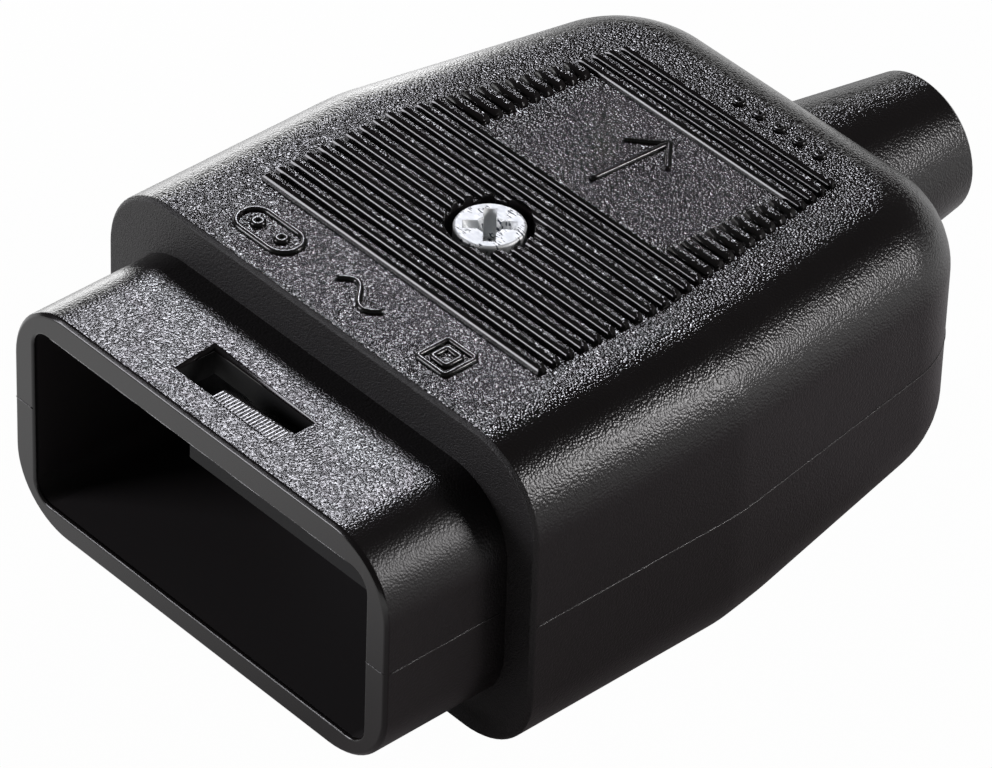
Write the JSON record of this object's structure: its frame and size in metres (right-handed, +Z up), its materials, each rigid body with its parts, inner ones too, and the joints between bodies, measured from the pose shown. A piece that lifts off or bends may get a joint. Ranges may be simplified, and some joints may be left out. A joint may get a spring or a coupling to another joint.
{
  "type": "two-pin cable coupler",
  "caption": "In-line mains cable coupler, socket half: moulded rubber cover with a hooded mouth, ribbed grip and tapered cable sleeve over a screwed-in contact carrier.",
  "frame": {"origin": "on the underside, at the middle of the coupler's width and length", "axes": "+X across the coupler, to the right when looking into the mouth from behind it; +Y from the open mouth to the cable sleeve; +Z up, towards the ribbed face with the screw"},
  "size_m": [0.05, 0.0776, 0.0299],
  "materials": {
    "cover_rubber": "black moulded rubber with a fine leathery grain, smooth on the front face and rim",
    "carrier_plastic": "hard black moulded plastic, satin",
    "contact_brass": "turned brass",
    "spring_steel": "bright rolled spring steel",
    "plated_steel": "bright zinc plate with fine scratches"
  },
  "bodies": {
    "root": {"cover": "cover_rubber", "contact_carrier": "carrier_plastic", "carrier_lid": "carrier_plastic", "cord_clamp": "carrier_plastic", "contact_left": "contact_brass", "contact_right": "contact_brass", "contact_spring_left": "spring_steel", "contact_spring_right": "spring_steel", "terminal_screw_left": "plated_steel", "terminal_screw_right": "plated_steel", "cord_clamp_screw_left": "plated_steel", "cord_clamp_screw_right": "plated_steel", "retaining_screw": "plated_steel", "retaining_nut": "contact_brass"}
  },
  "joints": []
}
